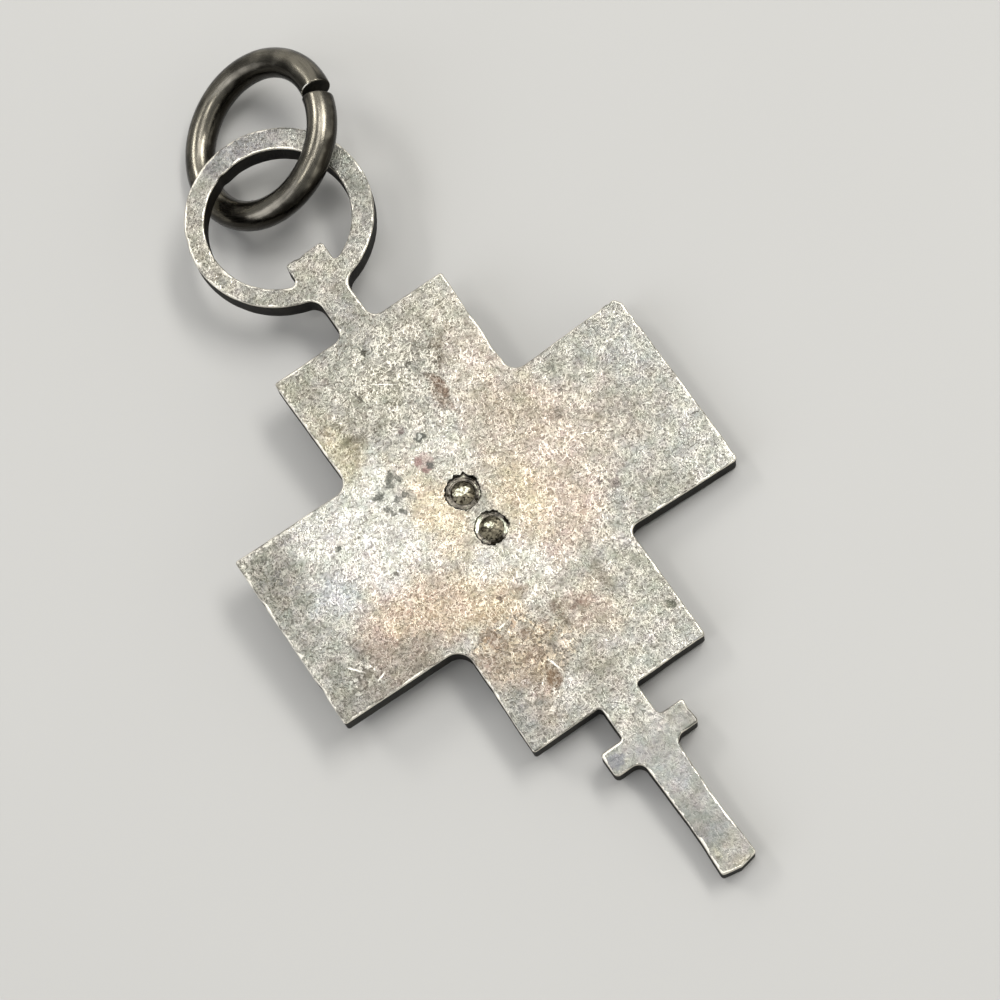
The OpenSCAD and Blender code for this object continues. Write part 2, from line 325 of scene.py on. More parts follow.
def tab_fillet(side, radius, outwards):
    """The small arc between one side of the tab and the opening's edge, from the edge to the side."""
    x = side + outwards * radius
    reach = OPENING_R - radius
    centre = complex(x, OPENING_C.imag - math.sqrt(reach**2 - (x - OPENING_C.real) ** 2))
    edge = cmath.phase(centre - OPENING_C)
    return arc(centre, radius, edge, -math.pi if outwards > 0 else 0)


def opening_outline():
    """The opening in the loop, clockwise, with the tab at its foot."""
    right = tab_fillet(TAB_RIGHT, TAB_RIGHT_R, 1)
    left = tab_fillet(TAB_LEFT, TAB_LEFT_R, -1)[::-1]
    start = cmath.phase(left[-1] - OPENING_C) + 2 * math.pi
    end = cmath.phase(right[0] - OPENING_C)
    top_right = complex(TAB_RIGHT, TAB_TOP)
    top_left = complex(TAB_LEFT, TAB_TOP)
    path = arc(OPENING_C, OPENING_R, start, end)[:-1] + right
    path += rounded(right[-1], top_right, top_left, TAB_CORNER_R)
    path += rounded(top_right, top_left, left[0], TAB_CORNER_R)
    return path + left[:-1]


def even_steps(path):
    """The closed path with its long straights divided, so that no step is longer than EDGE_STEP."""
    points = []
    for here, there in zip(path, path[1:] + path[:1]):
        parts = max(1, math.ceil(abs(there - here) / EDGE_STEP))
        points += [here + (there - here) * k / parts for k in range(parts)]
    return np.array(points)


def inwards(path):
    """Unit directions from a closed outline into the metal, which lies on its left."""
    along = np.roll(path, -1) - np.roll(path, 1)
    return 1j * along / np.abs(along)


def wander(path, size, seed):
    """Smooth noise from -1 to 1 along a path, with waves of about the given size in millimetres."""
    return np.array([noise.noise(Vector((p.real, p.imag, seed)) / size) for p in path])


# Small knocks and file slips in the sawn edge: place, half width and depth
NICKS = (
    (-8.14+1.6j, 0.16, 0.03),
    (-8.14-2j, 0.25, 0.05),
    (7.98+2.45j, 0.14, 0.05),
    (8-3.2j, 0.22, 0.04),
    (3.5+6.2j, 0.3, 0.04),
    (3.46+4.6j, 0.35, 0.05),
    (-3.5-5.3j, 0.2, 0.03),
    (-0.86+15.55j, 0.14, 0.06),
    (-3.2+14.2j, 0.25, 0.04),
    (1.7-9.6j, 0.2, 0.04),
    (0.62-12.2j, 0.4, 0.02),
    (-0.7-13.6j, 0.3, 0.015),
    (-0.25+11.42j, 0.12, 0.05),
    (7.93+3.45j, 0.1, 0.04),
    (7.6+3.62j, 0.08, 0.04),
    (7.1+3.6j, 0.12, 0.03),
    (8+2.9j, 0.09, 0.04),
)


def sawn(path, seed):
    """The outline as the saw and file left it: always a little inside the true one, with a few nicks."""
    cut = SAWN_INSET * (1 + wander(path, 0.9, seed) + 0.5 * wander(path, 0.25, seed + 5))
    for place, half_width, depth in NICKS:
        cut += depth * np.exp(-((np.abs(path - place) / half_width) ** 2))
    return path + inwards(path) * cut


def edge_rows(path, seed):
    """(inset, height) of each row of a sawn wall, from the front face up to the back face."""
    worn = BACK_CORNER_R + 0.02 * wander(path, 0.7, seed)
    rows = []
    for a in np.radians((0, 30, 60, 90)):
        rows.append((FRONT_CORNER_R * (1 - math.sin(a)), FRONT_CORNER_R * (1 - math.cos(a))))
    for share in (0.25, 0.5, 0.75):
        swell = 0.01 * wander(path, 0.5, seed + 20 * share)
        rows.append((SAWN_INSET / 2 + swell, SHEET_T * share))
    for a in np.radians((0, 22, 45, 68, 90)):
        rows.append((worn * (1 - math.cos(a)), SHEET_T - worn * (1 - math.sin(a))))
    rows.append((worn + 0.02, SHEET_T))
    return rows


# Rows of a recess: share of the way from its hole to its rim, how far it has risen to the face where it is
# steep and where it is soft, and how dark it is: faint darker rings in the punched floor, and painted shade
# on the steep rim
RECESS_ROWS = (
    (0.03, 0.06, 0.45, 0.2),
    (0.12, 0.05, 0.46, 0.1),
    (0.20, 0.09, 0.47, 0.6),
    (0.28, 0.12, 0.48, 0.7),
    (0.37, 0.04, 0.49, 0.1),
    (0.46, 0.06, 0.52, -0.2),
    (0.55, 0.14, 0.55, 0.7),
    (0.64, 0.09, 0.58, 0.1),
    (0.73, 0.08, 0.62, -0.1),
    (0.81, 0.16, 0.67, 0.7),
    (0.88, 0.22, 0.76, 0.1),
    (0.94, 0.55, 0.88, 0.9),
    (0.98, 0.90, 0.97, 1.0),
    (1.00, 1.00, 1.00, 1.0),
)


def turn_from(path, rivet, turn):
    """Degrees round the rivet between each point and a direction."""
    return np.degrees(np.abs(np.angle((path - rivet.centre) / turned(turn))))


def softness(path, rivet):
    """From 0 to 1: how gently a recess rises to the face in each point's direction."""
    near = [0.5 + 0.5 * np.cos(np.radians(turn_from(path, rivet, turn))) for turn in rivet.soft]
    return np.max(near, 0) ** 2


def patched(path, rivet, share, dark):
    """The darkness of one row of a recess with the rivet's burnished and black places, partly painted glints
    and shade.
    """
    for turn, half_turn, middle, half_share, darker in rivet.patches:
        beside = turn_from(path, rivet, turn) / half_turn
        outwards = (share - middle) / half_share
        dark = dark + darker * np.exp(-(beside**2) - outwards**2)
    return dark


def recess_rows(path, rivet):
    """(inset, height, darkness) of each row of a rivet's hole, from the front face up through the recess."""
    seat = SHEET_T - RECESS_H
    soft = softness(path, rivet)
    # The rim strays from its circle in wide and in fine waves, and furthest at the tooth
    jag = 0.15 * wander(path, 0.3, rivet.seed) + 0.4 * wander(path, 0.07, rivet.seed + 4)
    jag += 0.25 * np.exp(-((turn_from(path, rivet, rivet.tooth) / 5) ** 2))
    foot = seat + RECESS_H * 0.45 * soft
    # The crevice between the head and the recess starts black: painted shade
    rows = [(0.03, 0, 1), (0, 0.03, 1), (0, foot - 0.01, 1)]
    for share, steep, gentle, dark in RECESS_ROWS:
        inset = (rivet.recess_r - HOLE_R) * share * (1 + jag * share**3)
        rise = steep + (gentle - steep) * soft
        sag = 0.012 * wander(path, 0.12, rivet.seed + 9 + share) + 0.015 * wander(path, 0.3, rivet.seed + 9)
        height = seat + RECESS_H * rise + sag * (1 - rise)
        # The darkness fades where the recess rises gently, since the painted shade lies on its steep side
        rows.append((inset, height, patched(path, rivet, share, dark * (1 - 0.7 * soft))))
    rows.append((rows[-1][0] + 0.04, SHEET_T, 1))
    return rows


def inside(points, loop):
    """Which of the points lie inside a closed outline."""
    a = loop[None, :]
    b = np.roll(loop, -1)[None, :]
    rise = np.where(b.imag == a.imag, 1, b.imag - a.imag)
    found = []
    for part in np.array_split(points, 60):
        x = part.real[:, None]
        y = part.imag[:, None]
        spans = (a.imag > y) != (b.imag > y)
        crossing = a.real + (y - a.imag) * (b.real - a.real) / rise
        found.append((spans & (x < crossing)).sum(1) % 2 == 1)
    return np.concatenate(found)


def in_metal(points, loops):
    """Which of the points lie inside the first outline and outside the others."""
    kept = inside(points, loops[0])
    for hole in loops[1:]:
        kept &= ~inside(points, hole)
    return kept


def nearest(targets, points):
    """Distance from each of the points to the nearest of the targets."""
    tree = KDTree(len(targets))
    for i, p in enumerate(targets):
        tree.insert((p.real, p.imag, 0), i)
    tree.balance()
    return np.array([tree.find((p.real, p.imag, 0))[2] for p in points])


def filled(loops, step):
    """Triangulates the flat metal between the outlines. Returns the inner points and the triangles.

    The triangles count the outlines' own points first, loop by loop."""
    bounds = np.concatenate(loops)
    across = np.arange(bounds.real.min(), bounds.real.max(), step)
    along = np.arange(bounds.imag.min(), bounds.imag.max(), step * math.sqrt(3) / 2)
    x, y = np.meshgrid(across, along)
    x[1::2] += step / 2
    rng = np.random.default_rng(4)
    grid = (x + 1j * y).ravel()
    grid = grid + step * 0.12 * (rng.standard_normal(len(grid)) + 1j * rng.standard_normal(len(grid)))
    grid = grid[in_metal(grid, loops)]
    grid = grid[nearest(bounds, grid) > step * 0.55]
    points = np.concatenate((bounds, grid))
    edges = []
    start = 0
    for loop in loops:
        edges += [(start + i, start + (i + 1) % len(loop)) for i in range(len(loop))]
        start += len(loop)
    made = delaunay_2d_cdt([Vector((p.real, p.imag)) for p in points], edges, [], 0, 1e-6)
    same = [origins[0] for origins in made[3]]
    triangles = np.array([[same[i] for i in face] for face in made[2]])
    middles = points[triangles].mean(1)
    return grid, triangles[in_metal(middles, loops)]


def in_row(points):
    """Points of the flat cross in the row's frame and metres."""
    to_row = np.array(TO_ROW)
    return points @ to_row[:3, :3].T + to_row[:3, 3]


def make_object(name, points, faces, materials, slots, values):
    """Makes a smooth object from points in metres, with each face's material slot and named point values."""
    mesh = bpy.data.meshes.new(name)
    mesh.from_pydata([tuple(p) for p in points], [], faces)
    for material in materials:
        mesh.materials.append(material)
    mesh.polygons.foreach_set("material_index", slots)
    mesh.polygons.foreach_set("use_smooth", [True] * len(faces))
    for value, at_points in values.items():
        mesh.attributes.new(value, "FLOAT", "POINT").data.foreach_set("value", at_points)
    mesh.update()
    return new_object(name, mesh)


class Piece:
    """Gathers a mesh in the flat cross's millimetres: points with their edge value, faces and their slots."""

    def __init__(self):
        self.points = []
        self.faces = []
        self.slots = []
        self.edge = []

    def add_points(self, flat, height, edge):
        """Adds points and returns their numbers."""
        first = len(self.points)
        ones = np.ones(len(flat))
        self.points += list(zip(flat.real, flat.imag, height * ones))
        self.edge += list(edge * ones)
        return np.arange(first, len(self.points))

    def flat(self, numbers):
        """The numbered points, seen from above."""
        return np.array([complex(*self.points[i][:2]) for i in numbers])

    def add_faces(self, faces, slot):
        self.faces += [tuple(int(i) for i in face) for face in faces]
        self.slots += [slot] * len(faces)

    def add_band(self, low, high, slot):
        """Joins two closed rows of points, so that the faces look to the right of the rows' direction."""
        rows = zip(low, np.roll(low, -1), np.roll(high, -1), high)
        self.add_faces(list(rows), slot)

    def make(self, name, materials, shape):
        """Makes the object. shape moves all its points at once, while they are still in millimetres."""
        points = in_row(shape(np.array(self.points)))
        return make_object(name, points, self.faces, materials, self.slots, {"edge": self.edge})


def stands_for(piece, node):
    """Says which CAD node a piece replaces: hangs the piece on the root body and hides that node."""
    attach(piece, "root")
    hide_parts(node)


# Shallow dents in the back face: place, radius and depth
DENTS = (
    (3.8+1.4j, 0.22, 0.03),
    (-0.45+3.4j, 0.14, 0.025),
    (-4.95+1.75j, 0.1, 0.03),
    (-1.45-2.9j, 0.08, 0.025),
    (-2.2+2.7j, 0.3, 0.012),
    (-2.8+2.45j, 0.25, 0.012),
    (-2.6+1.9j, 0.3, 0.012),
    (3.2-6.4j, 0.14, 0.02),
    (-6.8-2.1j, 0.25, 0.02),
    (5.2-1.2j, 0.3, 0.01),
    (-0.9+2.6j, 0.22, 0.012),
    (-2.6+5j, 0.5, 0.01),
    (1.7+5.3j, 0.4, 0.01),
)


def handled(points):
    """The sheet with its slow waves and dents, which fade out towards the front face."""
    moved = points.copy()
    flat = points[:, 0] + 1j * points[:, 1]
    lift = 0.012 * (wander(flat, 3.5, 1) - 0.6) + 0.006 * (wander(flat, 1.1, 2) - 0.6)
    for place, radius, depth in DENTS:
        lift -= depth * np.exp(-((np.abs(flat - place) / radius) ** 2))
    moved[:, 2] += lift * np.clip(points[:, 2] / SHEET_T, 0, 1) ** 3
    return moved


def sheet_walls():
    """Each wall of the sheet: its path, its rows from the front face to the back one, and their slots."""
    edge_slots = [FRONT] * 2 + [WALL] * 5 + [FACE] * 5
    recess_slots = [WALL] * 2 + [RECESS] * len(RECESS_ROWS) + [FACE]
    walls = []
    for outline, seed in ((sheet_outline(), 11), (opening_outline(), 17)):
        path = sawn(even_steps(outline), seed)
        rows = [(inset, height, np.maximum(inset, 0)) for inset, height in edge_rows(path, seed + 20)]
        walls.append((path, rows, edge_slots))
    for rivet in RIVETS:
        hole = rivet.centre + HOLE_R * directions(RIVET_SEGMENTS).conjugate()
        walls.append((hole, recess_rows(hole, rivet), recess_slots))
    return walls


def close_face(piece, loops, outlines, height, slot):
    """Fills the flat metal of one face between its loops of points."""
    step = FACE_STEP if slot == FACE else 2.5 * FACE_STEP
    inner, triangles = filled([piece.flat(loop) for loop in loops], step)
    numbers = np.concatenate(loops + (piece.add_points(inner, height, nearest(outlines, inner)),))
    corners = piece.flat(numbers)[triangles]
    area = ((corners[:, 1] - corners[:, 0]).conjugate() * (corners[:, 2] - corners[:, 0])).imag
    wrong = (area < 0) == (slot == FACE)
    triangles[wrong] = triangles[wrong][:, ::-1]
    piece.add_faces(numbers[triangles], slot)


def make_sheet(materials):
    """The cross, neck, loop, tab, stem, crossbar and pin, all sawn from one sheet."""
    piece = Piece()
    walls = sheet_walls()
    ends = []
    for path, rows, slots in walls:
        normal = inwards(path)
        numbers = [piece.add_points(path + normal * inset, height, edge) for inset, height, edge in rows]
        for low, high, slot in zip(numbers, numbers[1:], slots):
            piece.add_band(low, high, slot)
        ends.append((numbers[0], numbers[-1]))
    front, back = zip(*ends)
    outlines = np.concatenate([path for path, rows, slots in walls[:2]])
    close_face(piece, front, outlines, 0.0, FRONT)
    close_face(piece, back, outlines, SHEET_T, FACE)
    sheet = piece.make("sheet", materials, handled)
    stands_for(sheet, "cross_plate")


def past_facet(rivet, away):
    """From 0 on a rivet's hammered facet to 1 at its head's rim."""
    reach = np.abs(away)
    towards = away / np.maximum(reach, 1e-9)
    steps = np.linspace(0, 1, 81)[:, None]
    along = (towards * HEAD_R * steps - rivet.facet) / turned(rivet.turn)
    long, wide = rivet.half_sizes
    outline = 1 + 0.8 * wander(towards * 0.4, 0.15, rivet.seed + 12)
    in_facet = (along.real / long) ** 2 + (along.imag / wide) ** 2 < outline
    facet_r = HEAD_R * (in_facet.sum(0) - 1).clip(0) / 80
    return ((reach - facet_r) / (HEAD_R - facet_r)).clip(0, 1)


def make_rivet(rivet, material):
    """One rivet: a wire with a flush front end and a hammered head on the back."""
    around = directions(RIVET_SEGMENTS)
    seat = SHEET_T - RECESS_H
    rim = seat + HEAD_RIM_H + HEAD_SOFT_RISE * softness(rivet.centre + around, rivet)
    piece = Piece()
    rows = []
    for share, height in ((0.5, 0.0), (0.93, 0.0), (1.0, 0.03), (1.0, rim - 0.02)):
        rows.append(piece.add_points(rivet.centre + share * RIVET_R * around, height, 0.5))
    for share in np.sin(np.linspace(math.pi / 2, 0, HEAD_ROWS + 1)[:-1]):
        away = HEAD_R * share * around
        fall = past_facet(rivet, away)
        ripple = 1 + 0.03 * wander(rivet.centre + away, 0.14, rivet.seed + 30)
        height = rim + (seat + HEAD_H - rim) * (1 - 0.75 * fall - 0.25 * fall**3) * ripple
        # The facet is burnished and its bright colour is partly a painted glint; its surroundings darken
        # towards the rim with painted shade
        darkness = np.where(fall > 0, 0.25 + 0.15 * fall, -0.7)
        rows.append(piece.add_points(rivet.centre + away, height, darkness))
    for low, high in zip(rows, rows[1:]):
        piece.add_band(low, high, 0)
    crown = np.mean([piece.points[i][2] for i in rows[-1]])
    middle = np.array([rivet.centre])
    bottom = piece.add_points(middle, 0.0, 0.5)[0]
    top = piece.add_points(middle, crown, -1)[0]
    piece.add_faces([(rows[0][i - 1], bottom, rows[0][i]) for i in range(RIVET_SEGMENTS)], 0)
    piece.add_faces([(rows[-1][i - 1], rows[-1][i], top) for i in range(RIVET_SEGMENTS)], 0)
    obj = piece.make(rivet.name, [material], lambda points: points)
    stands_for(obj, rivet.node)


def ring_axes():
    """Directions in the flat cross: along the ring's steepest fall, and across it."""
    fall = (RING_AXIS * RING_AXIS.z - Vector((0, 0, 1))).normalized()
    return fall, RING_AXIS.cross(fall)


def wire_stations(length):
    """Distances along the wire from one end, close together where the ends are rounded off."""
    near = [0, 0.3 * WIRE_END_R, WIRE_END_R]
    middle = np.linspace(3 * WIRE_END_R, length - 3 * WIRE_END_R, RING_STATIONS)
    return near + list(middle) + [length - d for d in reversed(near)]


def wire_skin(station, length):
    """The points round the wire at one station: (place, uv, distance to the burr, how much it looks up)."""
    fall, across = ring_axes()
    to_end = length - station
    rounding = max(0.0, WIRE_END_R - min(station, to_end))
    shrink = WIRE_END_R - math.sqrt(WIRE_END_R**2 - rounding**2)
    slanted = RING_SLANT * max(0.0, 1 - to_end / RING_SLANT_LENGTH)
    sunk = RING_SUNK * max(0.0, 1 - to_end / RING_SUNK_LENGTH) ** 2
    skin = []
    for k in range(RING_SEGMENTS):
        turn = 2 * math.pi * k / RING_SEGMENTS
        along = RING_GAP / 2 + station - slanted * (1 + math.cos(turn)) / 2
        place = along / RING_R + math.radians(RING_CUT)
        out = fall * math.cos(place) + across * math.sin(place)
        knock = RING_KNOCK * noise.noise(Vector((station * 1.4, math.cos(turn), math.sin(turn) + 3)))
        radius = WIRE_R - shrink - RING_INSET + knock
        middle = RING_C + out * (RING_R - sunk)
        looks = out * math.cos(turn) + RING_AXIS * math.sin(turn)
        past_burr = max(0.0, abs(math.degrees(turn) - RING_BURR_TURN) / RING_BURR_HALF_TURN - 1)
        skin.append((middle + looks * radius, (station, turn * WIRE_R), station + past_burr, looks.z))
    return skin


def wire_faces(count):
    """The faces between rows of points round a wire, then its two ends."""
    faces = []
    for low in range(0, count - RING_SEGMENTS, RING_SEGMENTS):
        high = low + RING_SEGMENTS
        for k in range(RING_SEGMENTS):
            n = (k + 1) % RING_SEGMENTS
            faces.append((low + k, high + k, high + n, low + n))
    faces.append(tuple(range(RING_SEGMENTS)))
    faces.append(tuple(count - 1 - k for k in range(RING_SEGMENTS)))
    return faces


def make_ring(materials):
    """The jump ring: round wire, sawn through, with one end slanted and sunk and a burr on the other."""
    length = 2 * math.pi * RING_R - RING_GAP
    skin = [point for station in wire_stations(length) for point in wire_skin(station, length)]
    places, uv, burr, crest = zip(*skin)
    faces = wire_faces(len(skin))
    slots = [0] * (len(faces) - 2) + [1] * 2
    # crest is how far the skin faces up; the wire's colour uses it to paint a sheen on top and shade on the
    # flanks
    values = {"edge": burr, "crest": crest}
    ring = make_object("wire_ring", in_row(np.array(places)), faces, materials, slots, values)
    for end in list(ring.data.polygons)[-2:]:
        end.use_smooth = False
    layer = ring.data.uv_layers.new(name="along_wire")
    for loop in ring.data.loops:
        layer.data[loop.index].uv = uv[loop.vertex_index]
    stands_for(ring, "jump_ring")


def linear(colour):
    """sRGB hex to linear RGBA."""
    parts = [int(colour[i : i + 2], 16) / 255 for i in (1, 3, 5)]
    return [p / 12.92 if p <= 0.04045 else ((p + 0.055) / 1.055) ** 2.4 for p in parts] + [1]


# Kinds of node: Blender's name, its inputs in the order in which they are given, its output and its settings
Kind = namedtuple("Kind", "node inputs output settings", defaults=((), 0, {}))
PLACED = ("Vector", "Location", "Rotation", "Scale")
NOISE = ("Vector", "Scale", "Detail", "Roughness")
RANGE = ("Value", "From Min", "From Max", "To Min", "To Max")
KINDS = {
    "place": Kind("TexCoord", output="Object"),
    "along wire": Kind("UVMap", settings={"uv_map": "along_wire"}),
    "point value": Kind("Attribute", output="Fac"),
    "moved": Kind("Mapping", PLACED, 0, {"vector_type": "TEXTURE"}),
    "ball": Kind("TexGradient", ("Vector",), "Fac", {"gradient_type": "SPHERICAL"}),
    "noise": Kind("TexNoise", NOISE, "Fac"),
    "colour noise": Kind("TexNoise", NOISE, "Color"),
    "cells": Kind("TexVoronoi", ("Vector", "Scale"), "Distance"),
    "spread": Kind("MapRange", RANGE, 0, {"interpolation_type": "SMOOTHSTEP"}),
    "even spread": Kind("MapRange", RANGE),
    "mix": Kind("Mix", (0, 6, 7), 2, {"data_type": "RGBA"}),
    "tint": Kind("Mix", (0, 6, 7), 2, {"data_type": "RGBA", "blend_type": "MULTIPLY"}),
    "shifted": Kind("VectorMath", (0, 1), 0, {"operation": "SUBTRACT"}),
    "stretched": Kind("VectorMath", (0, 1), 0, {"operation": "MULTIPLY"}),
    "stretched and shifted": Kind("VectorMath", (0, 1, 2), 0, {"operation": "MULTIPLY_ADD"}),
    "along cross": Kind("SeparateXYZ", (0,), "Y"),
    "brightness": Kind("RGBToBW", (0,)),
    "bump": Kind("Bump", ("Strength", "Distance", "Height")),
}
for kind, operation in (
    ("sum", "ADD"),
    ("difference", "SUBTRACT"),
    ("product", "MULTIPLY"),
    ("larger", "MAXIMUM"),
    ("size", "ABSOLUTE"),
):
    KINDS[kind] = Kind("Math", (0, 1), 0, {"operation": operation})


def give(node, inputs):
    """Sets each of a node's inputs to a value or an sRGB colour, or links another node's output to it."""
    for name, value in inputs.items():
        if isinstance(value, bpy.types.NodeSocket):
            node.id_data.links.new(value, node.inputs[name])
        else:
            node.inputs[name].default_value = linear(value) if isinstance(value, str) else value


def add_node(tree, kind, *values, **settings):
    """Adds a node of one of the KINDS with its values, settings and links, and returns its output."""
    kind = KINDS[kind]
    node = tree.nodes.new("ShaderNode" + kind.node)
    for name, value in (kind.settings | settings).items():
        setattr(node, name, value)
    give(node, dict(zip(kind.inputs, values)))
    return node.outputs[kind.output]


def frayed(add, place, size, reach):
    """The place moved about by noise, so that what is drawn with it gets a ragged outline."""
    shift = add("shifted", add("colour noise", place, 1 / size, 4, 0.6), (0.5, 0.5, 0.5))
    return add("stretched and shifted", shift, (2 * reach, 2 * reach, 0), place)


def grains(add, place, size, detail, roughness, *levels):
    """Noise with grains of about the given size in millimetres, spread from levels to levels."""
    return add("spread", add("noise", place, 1 / size, detail, roughness), *levels)


def flat_place(add):
    """Coordinates in the flat cross's millimetres."""
    origin, turn, scale = TO_ROW.decompose()
    return add("moved", add("place"), origin, turn.to_euler(), scale)


def new_material(name):
    """A material with the function that adds nodes to it, and its shader."""
    material = bpy.data.materials.new(name)
    material.use_nodes = True
    tree = material.node_tree
    return material, partial(add_node, tree), tree.nodes["Principled BSDF"]


# Broad tints on the back face: place, radii across and along the cross, strength and colour
TINTS = (
    # Pale, hardly tarnished
    (-3.9+2j, 3.6, 3.2, 0.95, "#E1E1D9"),
    (-2.9+3.2j, 1.8, 1.6, 0.8, "#E6E6DC"),
    (-4+0j, 3.4, 2.2, 0.9, "#E8E5DC"),
    (-0.4-2.4j, 3, 2.4, 0.85, "#DEDACE"),
    (0.2+2.8j, 2.6, 2.2, 0.7, "#D6D3C7"),
    (2.9-5.6j, 1.8, 3.8, 0.7, "#B5B3A6"),
    (2.2+7j, 2.8, 2, 0.7, "#BCB8A8"),
    (6.8-2.4j, 2.6, 2, 0.7, "#BCBDB6"),
    (7+1.8j, 2.4, 2.4, 0.7, "#B4B7B3"),
    (7.4+0.2j, 1.4, 1.8, 0.6, "#B4B4AC"),
    (-5.8+0.4j, 1.6, 1.2, 0.6, "#C6CCD2"),
    (-8+0j, 1.5, 2, 0.85, "#A9A9A1"),
    (-4.6-0.8j, 0.9, 1.1, 0.6, "#DDD4D0"),
    # Peach, orange and brown
    (5.7+0.2j, 2, 2, 0.75, "#ABA69A"),
    (3+0.8j, 3.2, 3.6, 0.85, "#D2C2B2"),
    (2.2-1.9j, 2.2, 1.9, 0.7, "#D6C0AE"),
    (1.2-0.2j, 1.7, 2.2, 0.65, "#E4D2B0"),
    (2.6+4.6j, 1.8, 2.6, 0.8, "#D6C9BA"),
    (2.5+2.6j, 1.8, 1.8, 0.75, "#B2A692"),
    (-1.5+0.9j, 1.4, 3, 0.75, "#EEDBBA"),
    (-4.1-1.7j, 2.5, 2, 0.8, "#D4BBA0"),
    (-5.6-1.9j, 1, 1.2, 0.5, "#BFA79A"),
    (-2-2.6j, 1.7, 1.4, 0.65, "#D4B892"),
    (-1.6-3.4j, 1.7, 0.8, 0.5, "#C9AE8C"),
    (-1.8-4.9j, 2.3, 1.6, 0.8, "#937C63"),
    (-2.2-6.5j, 1, 1.4, 0.7, "#B29A84"),
    (-3+4.8j, 1.2, 2.2, 0.8, "#CBC0A0"),
    # Grey
    (-0.8+5.6j, 2, 2, 0.65, "#C6C2B0"),
    (-3+7.4j, 1.8, 1.4, 0.7, "#A5A18D"),
    (-7.9+2.4j, 1.9, 2.2, 0.9, "#8A8A80"),
    (-7.4-2.9j, 3.4, 2, 0.9, "#96948B"),
    (-5.4-2.9j, 2.2, 1.1, 0.7, "#A09487"),
    (-3.3-6.4j, 1.5, 3.8, 0.8, "#9E9E98"),
    (-2.6-4.9j, 1.5, 1.4, 0.7, "#B8A692"),
    (0.9-4.8j, 1.5, 1.8, 0.6, "#CBB8A2"),
    (5.4-2.8j, 1.8, 1.7, 0.65, "#9E9D91"),
    (5+2.9j, 1.5, 1.8, 0.6, "#BAB8AC"),
    (1.8+5.7j, 0.8, 0.9, 0.5, "#958D7E"),
    (1+4.3j, 0.4, 1.4, 0.75, "#86705F"),
    (-11j, 2, 2.6, 0.7, "#B8B9B6"),
    (-7.3j, 1.6, 0.9, 0.6, "#A49F95"),
    (-6.5j, 1, 0.8, 0.55, "#A09A88"),
    (2.8-7.4j, 1.5, 1.1, 0.65, "#C0C0B9"),
    (0.1-13.2j, 1.4, 1.1, 0.7, "#A0A29E"),
    (0.5-14.9j, 1.4, 0.8, 0.6, "#B8B198"),
    (10.3j, 1.8, 1.3, 0.7, "#AEAB9C"),
    (3+13.4j, 1.4, 3, 0.8, "#A0A199"),
    (-3.2+13.6j, 1.3, 2.6, 0.8, "#A5A292"),
    (0.6+16j, 3, 1.2, 0.8, "#9C9C9E"),
)

# Small marks on the back face, in the same way
MARKS = (
    (-2.4+2.2j, 1, 1, 0.35, "#85867E"),
    (-2.1+2.86j, 0.24, 0.26, 0.8, "#464741"),
    (-2.26+2.62j, 0.24, 0.34, 0.8, "#464741"),
    (-1.9+2.66j, 0.15, 0.3, 0.7, "#464741"),
    (-2.82+2.46j, 0.34, 0.26, 0.8, "#464741"),
    (-2.36+2.02j, 0.3, 0.17, 0.75, "#464741"),
    (-2.05+2.05j, 0.18, 0.15, 0.7, "#464741"),
    (-1.85+1.85j, 0.2, 0.4, 0.5, "#5A5B55"),
    (-2.83+1.9j, 0.22, 0.18, 0.75, "#464741"),
    (-2.72+1.68j, 0.14, 0.14, 0.7, "#464741"),
    (-2.4+1.56j, 0.2, 0.2, 0.75, "#464741"),
    (-4.96+1.76j, 0.22, 0.15, 0.85, "#464741"),
    (-1.45-2.9j, 0.14, 0.18, 0.85, "#4B4038"),
    (-0.83+2.57j, 0.5, 0.56, 0.5, "#94807A"),
    (-1+2.72j, 0.24, 0.22, 0.7, "#6E5652"),
    (-0.9+2.3j, 0.22, 0.2, 0.7, "#6E5652"),
    (-0.7+2.38j, 0.24, 0.22, 0.9, "#4E4E4A"),
    (-0.46+3.44j, 0.32, 0.26, 0.9, "#4A4B46"),
    (-0.45+3.46j, 0.13, 0.12, 0.9, "#A9A9A0"),
    (3.8+1.4j, 0.45, 0.45, 0.5, "#5E564D"),
    (3.2-6.4j, 0.3, 0.32, 0.8, "#44463C"),
    (-1.4-9.7j, 0.5, 0.45, 0.6, "#5C5D64"),
    (-2.5-3.7j, 0.6, 0.4, 0.4, "#5C4836"),
    (0.94-4.6j, 0.45, 0.4, 0.4, "#6B544A"),
    (-1.47-6.24j, 0.45, 0.5, 0.6, "#56422F"),
    (-0.56-3.05j, 0.3, 0.25, 0.4, "#5F4E3C"),
    (1.85-4.2j, 0.3, 0.9, 0.55, "#5D574C"),
    (4.05-1.8j, 0.34, 0.34, 0.6, "#544A48"),
    (3.64-1.5j, 0.2, 0.2, 0.6, "#544A48"),
    (5.13+2j, 0.2, 0.2, 0.6, "#4D4D47"),
    (4.63+2.84j, 0.24, 0.2, 0.6, "#4D4D47"),
    (-0.33+7.08j, 0.2, 0.16, 0.85, "#35332C"),
    (0.67+5.88j, 0.2, 0.16, 0.8, "#35332C"),
    (0.68+6.95j, 0.18, 0.13, 0.5, "#564C3A"),
    (-1.39+5.85j, 0.1, 0.42, 0.8, "#3A372F"),
    (-1.48+4.5j, 0.45, 0.35, 0.4, "#46443A"),
    (-0.34+5.18j, 0.8, 0.6, 0.3, "#5B594A"),
    (-0.86+3.97j, 0.2, 0.16, 0.45, "#574645"),
    (-2.16+4.6j, 0.45, 0.35, 0.4, "#504A3F"),
    (1.15+4.5j, 0.25, 0.8, 0.45, "#5A4639"),
    (1.9+5.9j, 0.35, 0.35, 0.4, "#57503F"),
    (2.9+2.6j, 0.14, 0.12, 0.5, "#4D4842"),
)

